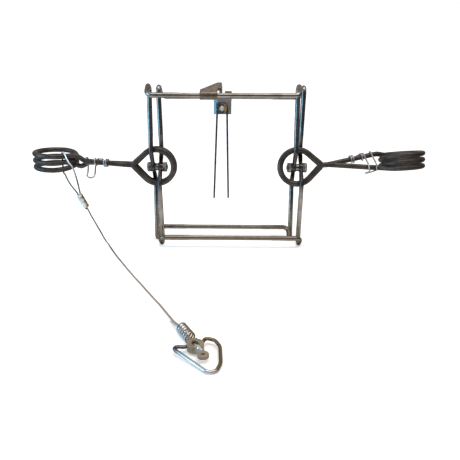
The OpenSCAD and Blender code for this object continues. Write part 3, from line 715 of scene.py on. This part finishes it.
def swelled(grid):
    """The wire pressed wider where it is bent into an eye: points outside the wire's middle move away
    from the eye's centre, most beside the point of the eye."""
    middle = grid.mean(axis=1, keepdims=True)
    arm = (middle - (SPRING_L, 0, 0)) * (1, 0, 1)
    reach = np.linalg.norm(arm, axis=2, keepdims=True)
    at_eye = np.clip((APEX + SWELL_PAST - reach) / SWELL_FADE, 0, 1)
    share = at_eye * (SWELL_ROUND + SWELL_POINT * np.clip((reach - RING_R) / POINT_L, 0, 1))
    away = arm / np.maximum(reach, 1)
    out = np.maximum(((grid - middle) * away).sum(axis=2, keepdims=True), 0)
    return grid + away * out * share


def mitred(grid):
    """The wire's ends cut level where an eye closes on its own leg: points of the last rings that pass
    the level slide back along the wire. Ends that don't climb to a leg stay as they are."""
    grid = grid.copy()
    for end in (slice(None, MITRE_RINGS), slice(None, -MITRE_RINGS - 1, -1)):
        rings = grid[end]
        middle = rings.mean(axis=1)
        way = unit(middle[0] - middle[-1])
        if abs(way[2]) > MITRE_CLIMB:
            past = np.maximum(np.sign(way[2]) * rings[..., 2:] + MITRE_BELOW, 0)
            grid[end] = rings - way * past / abs(way[2])
    return grid


def add_springs():
    """The left spring as two moving legs and a coil in two halves, and the right spring as one wire."""
    leg = half_spring("left")
    leg = np.vstack([leg[:1] - (1, 0, 0), leg])
    for name, side, line, body in (("left_front_leg", "left", leg, "left_front_leg"),
                                   ("left_rear_leg", "left", leg * (1, -1, -1), "left_rear_leg"),
                                   ("right_spring", "right", pressed_spring(), "base")):
        wire = tube(even(line, SPRING_STEP), WIRE_D, SPRING_SIDES, SPRING_CHAMFER)
        grid = placed(mitred(swelled(wire)), *spring_place(side))
        add_piece(name + "_wire", [grid], spring_black, body, [name])
    turns = even(coil(COIL_PITCH), SPRING_STEP)
    middle = len(turns) // 2
    matrix, origin = spring_place("left")
    for label, line, body, top in (("upper", turns[:middle + 1], "left_front_leg", 1),
                                   ("lower", turns[middle:], "left_rear_leg", -1)):
        grid = placed(tube(line, WIRE_D, SPRING_SIDES), matrix, origin)
        half = add_piece(f"left_coil_{label}", [grid], spring_black, None, ["left_spring_coil"])
        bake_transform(half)


# Catches, in the frame of their leg: along it from the coil towards the eye, across it, and up

WRAP_R, WRAP_STEP = WIRE_R + CATCH_GAP + CATCH_D / 2, CATCH_D + 0.8
BAIL_W, DOUBLE_WRAP = 13.0, 24
LEGS_APART = np.hypot(2 * (NECK_Y - 1), 2 * 8.6)
BAIL_L = LEGS_APART + WIRE_R + CATCH_D / 2 - 2.5
# the degrees at which the double wrap, the single one and the last part of a turn start and end
DOUBLE, SINGLE, LAST = (90, 750), (142, 540), (180, 45)
# the wire's crossing between its wraps: degrees round the leg, and places along it past the bail
CROSS_A, CROSS_X = np.array([55, 75, 85, 93, 105, 122]), np.array([15.9, 13.9, 11.4, 8.6, 6.4, 4.9])
# bends of half a bail: along, across, up, and the bend's radius
BAIL_BENDS = {"left": [(0, -WRAP_R, 9 - BAIL_L, 6.0), (0, 8 - WRAP_R, -BAIL_L - 1, 6.2)],
              "right": [(0, 0.2, -BAIL_L - 1.5, 4.0), (0, 10.5, -BAIL_L - 5.7, 2.5),
                        (8, 18.6, 2.3 - BAIL_L, 3.0)]}


def round_leg(along, degrees):
    """Points on the catch wire's circle round the leg."""
    a = np.radians(degrees)
    return np.stack([along, WRAP_R * np.cos(a), WRAP_R * np.sin(a)], axis=1)


def wrap(along, start, end):
    """Turns of the catch wire round the leg, between two angles in degrees, moving back along it."""
    a = np.linspace(start, end, int(np.ceil(abs(end - start) / 30)) + 1)
    return round_leg(along - WRAP_STEP * np.abs(a - start) / 360, a)


def catch_line(side):
    """Centre line of a safety catch: a double wrap, a crossing along the leg, a single wrap, the bail,
    and a last part of a turn. The left bail is bent rounder; the right one ends in a hook."""
    first = BAIL_W + DOUBLE_WRAP
    wound = np.vstack([[[first, CATCH_D, WRAP_R + 0.3]], wrap(first, *DOUBLE),
                       round_leg(BAIL_W + CROSS_X, CROSS_A),
                       wrap(BAIL_W + WRAP_STEP * (SINGLE[1] - SINGLE[0]) / 360, *SINGLE)])
    bends = BAIL_BENDS[side]
    there = [(BAIL_W + x, y, z) for x, y, z, r in bends]
    back = [(x, y, z) for x, y, z, r in bends[::-1]]
    radii = [r for x, y, z, r in bends]
    bail = eased([(BAIL_W, -WRAP_R, -2)] + there + back + [(0, -WRAP_R, -0.5)],
                 [0] + radii + radii[::-1] + [0], 40)
    return np.vstack([smooth(wound, 5), bail, smooth(wrap(0, *LAST), 5)])


def add_catches():
    """The left catch hangs open on the front leg; the right one is hooked over the other leg."""
    for side, angle in HANG.items():
        grid = tube(even(catch_line(side), 0.7), CATCH_D, 16, EDGE_CUT)
        grid = (grid * (1, -1, 1))[:, ::-1]
        last = LEG_VIA[side][0][-1]
        way = unit(ENTRY - last)
        across = unit(np.array([0, 1, 0]) - way * way[1])
        frame_of_leg = np.stack([way, across, np.cross(way, across)], axis=1)
        at = last + way * (CATCH_X[side] - last[0]) / way[0]
        local = placed(grid, frame_of_leg @ turned("X", angle), at)
        name = side + "_catch"
        add_piece(name + "_wire", [placed(local, *spring_place(side))], catch_zinc, name, [name])


# Trigger

CLAMP_Z, ARCH_R, PRONG_STOUT = -20.5, 8.8, 0.5
# how far the two prongs spread at their ends, left and right
SPLAY = (6.5, 3)
CLAMP_FIT, CLAMP_WASHER_T, CLAMP_HEX, CLAMP_NUT_H, CLAMP_HEAD_H, CLAMP_PAST = 0.05, 1.6, 8, 4, 3.5, 5
CLAMP_PITCH, CLAMP_DEPTH, CLAMP_TIP = 0.8, 0.25, 0.5


def add_trigger():
    """The bent trigger wire, and the washer, nut and bolt that clamp it to its plate."""
    bar = joint_place("trigger_tilt") * (0, 1, 1)
    back = -(ROD_R + RUN_FIT)
    face = back - PLATE_T
    front = face - PRONG_D
    a = np.radians(np.linspace(0, 180, 37))
    y, low = face - PRONG_D / 2, -PLATE_H - PRONG_L
    arch = np.stack([CLAMP_X - ARCH_R * np.cos(a), np.full_like(a, y), CLAMP_Z + ARCH_R * np.sin(a)], axis=1)
    line = np.vstack([[[CLAMP_X - ARCH_R - SPLAY[0], y, low]], arch,
                      [[CLAMP_X + ARCH_R + SPLAY[1], y, low]]]) + bar
    add_piece("trigger_fork", [tube(even(line, 1.2), PRONG_D + PRONG_STOUT, 16, EDGE_CUT)], prong_steel,
              "trigger", ["trigger_wire"])
    reach = PLATE_T + PRONG_D + CLAMP_WASHER_T + CLAMP_PAST
    screw = thread(CLAMP_D / 2, CLAMP_TIP, reach - TIP_OUT, CLAMP_PITCH, CLAMP_DEPTH)[::-1] * (1, 1, -1)
    for label, forms, y, material, capped, sharp in (
            ("washer", [washer_form(CLAMP_D / 2 + CLAMP_FIT, ARCH_R, 0, CLAMP_WASHER_T)], front, clamp_brass_with_sheen,
             False, 40),
            ("nut", [hex_form(CLAMP_HEX, 0, CLAMP_NUT_H)], front - CLAMP_WASHER_T, clamp_zinc, True, 30),
            ("bolt", [screw + (0, 0, reach), hex_form(CLAMP_HEX, -CLAMP_HEAD_H, 0)], back, clamp_zinc,
             True, 30)):
        grids = [placed(form, turned("X", 90), bar + (CLAMP_X, y, CLAMP_Z)) for form in forms]
        add_piece(f"trigger_{label}_turned", grids, material, "trigger", [f"trigger_{label}"],
                  capped, sharp)


# Wire rope. The loop and the drop are counted from the middle of the left coil

LOOP_ROUTE = np.array([
    [49.5, -40.5, -59], [48, -40, -55], [43, -38.5, -48.5], [36, -36, -40.5], [29.5, -33, -30.5],
    [25, -29, -23], [20.5, -23, -21], [18, -18.5, -13.5], [18.5, -18.5, 0], [18.5, -19, 11],
    [22.5, -23.5, 15.5], [27.6, -29.4, 13.5], [31.6, -33.6, 6.5], [36.5, -36, -1.5], [42.5, -37, -10],
    [48, -39, -28], [51.5, -40, -48], [53, -40, -59]])
LOOP_TOP = 10
DROP_ROUTE = np.array([[59.5, -36, -78.5], [62, -35, -85]])
RUN_ROUTE = np.array([
    [-243.5, -32, 58], [-236.3, -31, 42], [-229, -30, 26], [-222.5, -30, 12], [-214, -36, 3.8],
    [-203, -56, 1.4], [-186, -89, 1.3], [-170.2, -118, 1.3], [-155.4, -145, 1.3], [-141.5, -170, 1.3],
    [-128.2, -193, 1.3], [-116, -214, 1.3], [-104, -235, 1.3], [-93, -254, 1.3], [-83, -271, 1.4],
    [-73, -290, 2]])
# along the shock spring's axis, across it and above it
END_ROUTE = np.array([
    [-24, 1.45, -3.2], [-8, 1.45, -0.7], [2, 1.45, 0], [13, 1.45, 0], [24, 0.3, 0], [32, 0, 0], [44.5, 0, 0]])
TAIL_ROUTE = np.array([
    [-27, -1.6, -4.2], [-20, -1.6, -2.8], [-8, -1.45, -0.7], [2, -1.45, 0], [12.5, -1.45, 0]])
ROPE_STEP, ROPE_SIDES, ROPE_LAY, ROPE_K = 0.8, 36, 15.0, 12
# the circle round the strands, larger so that the rope measures CABLE_D between their crowns and grooves,
# and the share of it where the grooves end
STRANDS_D, GROOVE = 1.1 * CABLE_D, 0.33


def on_axis(points):
    """Points given along the shock spring's axis, across it and above it."""
    return SHOCK_A + np.array(points, float) @ TO_AXIS.T


def stranded(line):
    """A wire rope: six round strands laid round the line. The radius at an angle is that of the
    nearest strand's circle, and the angle of the strands grows with the way along."""
    line = even(line, ROPE_STEP)
    a = circle(ROPE_SIDES)[None]
    twist = np.arange(len(line))[:, None] * ROPE_STEP / ROPE_LAY * 2 * np.pi
    f = (a - twist + np.pi / 6) % (np.pi / 3) - np.pi / 6
    big, strand = STRANDS_D / 3, STRANDS_D / 6
    r = big * np.cos(f) + np.sqrt(np.maximum(strand ** 2 - (big * np.sin(f)) ** 2, 0))
    return line, rings_along(line, np.maximum(r, GROOVE * STRANDS_D), ROPE_SIDES)


def add_rope():
    """The rope as three cords, each with its centre line: from the top of the loop down and along to the
    stop, from there round the back of the loop to the ferrule, and the short tail beside the end sleeve."""
    loop = smooth(LOOP_ROUTE + LEFT_COIL, ROPE_K)
    main = smooth(np.vstack([DROP_ROUTE + LEFT_COIL, RUN_ROUTE, on_axis(END_ROUTE)]), ROPE_K)
    tail = smooth(on_axis(TAIL_ROUTE), 8)[::-1]
    top = LOOP_TOP * ROPE_K
    made = {}
    for name, part, material, line in (("rope_run", "cable_run", rope_steel, np.vstack([loop[top:], main])),
                                       ("rope_loop", "cable_loop", rope_in_shade, loop[top::-1]),
                                       ("rope_tail", "cable_tail", tail_bright, tail)):
        line, grid = stranded(line)
        made[name] = add_piece(name, [grid], material, "base", [part], sharp=75), line
    return made


# Fittings of the rope

# the power of a sleeve's oval, and the share by which its ends are drawn in over a share of its length
OVAL, DRAWN_IN, DRAWN_OVER = 2.6, 0.16, 0.06
# where the end sleeve starts and ends, and where the stop and the polished shaft start, along the axis
SLEEVE_A, SLEEVE_B, STOP_AT, SHAFT_AT, SHAFT_ABOVE = 4, 12, 41, 46.5, 2.2
# the rope's dead end beside the ferrule's lower end: its place from there, and lengths along the ferrule
DEAD_END, DEAD_END_ALONG = np.array([-2.6, -0.5, 0]), [-3, 1, 4.5]
# how much the shock spring is drawn larger, its wire stouter, and its middle over and above the axis
SHOCK_LARGER, SHOCK_STOUT, SHOCK_OVER, SHOCK_ABOVE = 0.8, 0.3, 0.8, 0.9
RING_SLIM = 0.04
STOP_PROFILE = [(ON_AXIS, 0), (2.1, 0), (2.5, 0.4), (2.5, 4.6), (2.1, 5), (ON_AXIS, 5)]
SHAFT_PROFILE = [(ON_AXIS, 0), (1.9, 0), (2.3, 0.4), (2.3, 5), (1.9, 6), (2.2, 7), (2.2, 10), (ON_AXIS, 10.6)]
# corners of the end ring, along the axis from the swivel's middle and over it, each with its bend's radius
RING_CORNERS = [(0, 4.8, 0), (0, 11, 3), (-6.5, 15, 4.6), (3, 23.2, 6), (14, 23.6, 18), (38.5, 12, 26),
                (48.5, 1.5, 7), (44, -6.5, 6), (-7.2, -23.9, 3.2), (0, -11.5, 6), (0, -4.8, 0)]


def sleeve(a, b, side, apart, d, crimps, depth):
    """A pressed sleeve round two strands: an oval swept from a to b, its ends drawn in and shallow
    presses along it."""
    t = np.linspace(0, 1, 61)
    line = np.asarray(a) + np.outer(t, np.subtract(b, a))
    way = unit(np.subtract(b, a))
    n = unit(side - way * np.dot(side, way))
    o = np.cross(way, n)
    c, s = np.cos(circle(48)), np.sin(circle(48))
    oval = 1 / (np.abs(c) ** OVAL + np.abs(s) ** OVAL) ** (1 / OVAL)
    draw = 1 - DRAWN_IN * np.clip(1 - np.minimum(t, 1 - t) / DRAWN_OVER, 0, 1) ** 2
    press = 1 - depth * (0.5 - 0.5 * np.cos(2 * np.pi * crimps * t))
    wide = ((apart + d) / 2 * draw)[:, None] * (oval * c)[None]
    high = (d / 2 * draw * press)[:, None] * (oval * s)[None]
    return line[:, None] + wide[..., None] * n + high[..., None] * o


def shock_line():
    """Centre line of the shock spring: a helix along the axis."""
    r = (SHOCK_D - SHOCK_WIRE) / 2 + SHOCK_LARGER
    turn = np.linspace(0, 2 * np.pi * SHOCK_N, SHOCK_N * 40 + 1)
    way = SHOCK_WIRE / 2 + (SHOCK_L - SHOCK_WIRE) * turn / turn[-1]
    return on_axis(np.stack([way, r * np.cos(turn) + SHOCK_OVER, r * np.sin(turn) + SHOCK_ABOVE], axis=1))


def add_fittings():
    """Ferrule and dead end, end sleeve, shock spring, stop, polished shaft and end ring."""
    a, b = FERRULE + LEFT_COIL
    ferrule = sleeve(a, b, np.array([1.0, 0, 0]), apart=4.8, d=6.6, crimps=3, depth=0.14)
    stub = tube(b + DEAD_END + np.outer(DEAD_END_ALONG, unit(b - a)), CABLE_D, 16, EDGE_CUT)
    a, b = on_axis([(SLEEVE_A, 0, 0), (SLEEVE_B, 0, 0)])
    end_sleeve = sleeve(a, b, OVER, apart=2.9, d=CABLE_D + 1.4, crimps=2, depth=0.06)
    shock = tube(shock_line(), SHOCK_WIRE + SHOCK_STOUT, 16, 0.2)
    stop = placed(turned_form(STOP_PROFILE, 36)[:, ::-1], Z_TO_AXIS, on_axis([STOP_AT, 0, 0]))
    shaft = placed(turned_form(SHAFT_PROFILE, 32)[:, ::-1], Z_TO_AXIS, on_axis([SHAFT_AT, 0, SHAFT_ABOVE]))
    ring = eased([(x, y, 0) for x, y, r in RING_CORNERS], [r for x, y, r in RING_CORNERS])
    ring = tube(even(ring, 0.8), RING_WIRE - RING_SLIM, 20, EDGE_CUT) @ turned("Y", RING_DIP).T
    ring = placed(ring, TO_AXIS, on_axis([RING_AT, 0, 0]))
    for name, grid, material, body, nodes, slot in (
            ("pressed_ferrule", ferrule, ferrule_alloy, "base", ["loop_ferrule"], "ferrule_alloy"),
            ("rope_dead_end", stub, rope_in_shade, "base", [], "wire_rope"),
            ("pressed_end_sleeve", end_sleeve, stop_alloy, "base", ["end_sleeve"], "ferrule_alloy"),
            ("shock_spring_wire", shock, shock_zinc, "base", ["shock_spring"], "zinc_steel"),
            ("stop_button", stop, stop_alloy, "base", ["cable_stop"], "ferrule_alloy"),
            ("polished_shaft", shaft, tail_bright, "swivel", [], "zinc_steel"),
            ("end_ring_wire", ring, ring_zinc, "end_ring", ["end_ring"], "galvanised_ring")):
        add_piece(name, [grid], material, body, nodes)


# the casting's grain, the share and rounds of its smoothing, and the angle from which edges are rounded
CAST_GRAIN, CAST_SOFT, CAST_ROUNDS, ROUNDED_FROM = 0.4, 0.5, 12, np.radians(35)


def dress_cad():
    """CAD parts that stay: the metals given to their slots, sheet edges and spacers rounded by a bevel,
    and the swivel softened to a casting."""
    for name, material, width in (("dog", dog_steel, 0.5), ("trigger_plate", plate_steel, 0.45),
                                  ("left_spacer", pivot_black, 0.3), ("right_spacer", pivot_black, 0.3),
                                  ("swivel_body", cast_swivel, None)):
        part = bpy.data.objects[name]
        for slot in part.material_slots:
            slot.material = material
        if width is None:
            cast = part.modifiers.new("cast", "REMESH")
            cast.mode, cast.voxel_size, cast.use_smooth_shade = "VOXEL", CAST_GRAIN * MM, True
            soft = part.modifiers.new("softened", "SMOOTH")
            soft.factor, soft.iterations = CAST_SOFT, CAST_ROUNDS
            continue
        weld = part.modifiers.new("joined", "WELD")
        weld.merge_threshold = 0.01 * MM
        bevel = part.modifiers.new("rounded", "BEVEL")
        bevel.width, bevel.segments, bevel.limit_method = width * MM, 3, "ANGLE"
        bevel.angle_limit = ROUNDED_FROM


# Stage, light and camera, in metres

# half the floor's width in front and at the back, its front and back edges, and the wall's height
NEAR, WIDE, FRONT, BACK, TALL = 0.32, 1.8, -0.56, 2.2, 1.6
# the depths between which the floor's lift grows, and its two strengths
FLOOR_LIFT = (-0.4, 1.4, 0.28, 0.65)
# the room's colours from below to above, each with the share of the height where it stands
ROOM = ((0.44, (0.075, 0.095, 0.13)), (0.58, (0.18, 0.195, 0.22)), (0.8, (0.60, 0.57, 0.53)))
CAMERA_AT, CAMERA_LENS = np.array([0.007872, -0.757697, 0.242087]), 32.648
CAMERA_DIP, CAMERA_YAW, CAMERA_ROLL = 16.105, -0.151, 0.346


def studio_white():
    """A white that is lifted for the camera and for mirrored and passed light: it keeps a faint shadow
    and adds no light to matt faces."""
    white = bpy.data.materials.new("studio_white")
    white.use_nodes = True
    tree = white.node_tree
    path = node(tree, "ShaderNodeLightPath").outputs
    mirrored = math_node(tree, "MAXIMUM", path["Is Glossy Ray"], path["Is Transmission Ray"])
    seen = math_node(tree, "MAXIMUM", path["Is Camera Ray"], mirrored)
    lift = ranged(tree, axis_of(tree, object_place(tree), 1), *FLOOR_LIFT)
    for label, value in (("Base Color", (0.9, 0.9, 0.9)), ("Roughness", 0.9), ("Specular IOR Level", 0.1),
                         ("Emission Color", (1, 1, 1)),
                         ("Emission Strength", math_node(tree, "MULTIPLY", seen, lift))):
        plug(tree, tree.nodes["Principled BSDF"].inputs[label], value)
    return white


def add_stage():
    """A white floor, a white wall behind, and a grey room that is darker and cooler to the sides than
    above."""
    white = studio_white()
    for name, corners in (
            ("studio_floor", [(-NEAR, FRONT, 0), (NEAR, FRONT, 0), (WIDE, BACK, 0), (-WIDE, BACK, 0)]),
            ("studio_wall", [(-WIDE, BACK, 0), (WIDE, BACK, 0), (WIDE, BACK, TALL), (-WIDE, BACK, TALL)])):
        mesh = bpy.data.meshes.new(name)
        mesh.from_pydata(corners, [], [(0, 1, 2, 3)])
        mesh.materials.append(white)
        add_object(name, mesh)
    world = bpy.data.worlds.new("studio_room")
    bpy.context.scene.world = world
    world.use_nodes = True
    tree = world.node_tree
    rise = axis_of(tree, node(tree, "ShaderNodeTexCoord").outputs["Generated"], 2)
    ramp = node(tree, "ShaderNodeValToRGB", {0: ranged(tree, rise, -1, 1, 0, 1)})
    ramp.color_ramp.elements.new(0.5)
    for element, (place, colour) in zip(ramp.color_ramp.elements, ROOM):
        element.position, element.color = place, (*colour, 1)
    plug(tree, tree.nodes["Background"].inputs["Color"], ramp.outputs[0])


def stand(made, axes, place):
    """Puts a lamp or the camera at a place, its own x, y and z along the columns of axes."""
    made.matrix_world = Matrix([[*row, p] for row, p in zip(axes, place)] + [[0, 0, 0, 1]])


def add_lamp(name, place, towards, size, power, colour):
    """A soft lamp of the given width and height aimed at a point, in metres and watts."""
    lamp = bpy.data.lights.new(name, "AREA")
    lamp.shape, lamp.size, lamp.size_y = "RECTANGLE", *size
    lamp.energy, lamp.color = power, colour
    z = unit(np.subtract(place, towards))
    x = unit(np.cross([0, 0, 1], z))
    stand(add_object(name, lamp), np.stack([x, np.cross(z, x), z], axis=1), place)


def add_camera():
    """The camera found by fitting the trap's measured edges in the photograph."""
    data = bpy.data.cameras.new("photo_camera")
    data.sensor_width, data.lens = 36.0, CAMERA_LENS
    data.clip_start, data.clip_end = 0.01, 50
    camera = add_object("photo_camera", data)
    aim = turned("Z", -CAMERA_YAW) @ turned("X", 90 - CAMERA_DIP)
    stand(camera, aim @ turned("Z", CAMERA_ROLL), CAMERA_AT)
    bpy.context.scene.camera = camera


add_jaws()
add_pivots()
add_springs()
add_catches()
add_trigger()
rope = add_rope()
add_fittings()
dress_cad()

add_stage()
add_lamp("top_lamp", (0.1, -0.45, 1.7), (0, 0, 0.1), (1.6, 0.8), 15, (1, 0.97, 0.93))
add_lamp("left_lamp", (-1.1, -0.42, 0.3), (0, 0, 0.15), (0.8, 0.9), 11.5, (0.32, 0.68, 1.0))
add_lamp("right_lamp", (0.9, -0.7, 1.4), (0, 0, 0.15), (0.5, 0.5), 3.2, (1.0, 0.86, 0.66))
add_camera()
bpy.context.scene.view_settings.view_transform = "Standard"
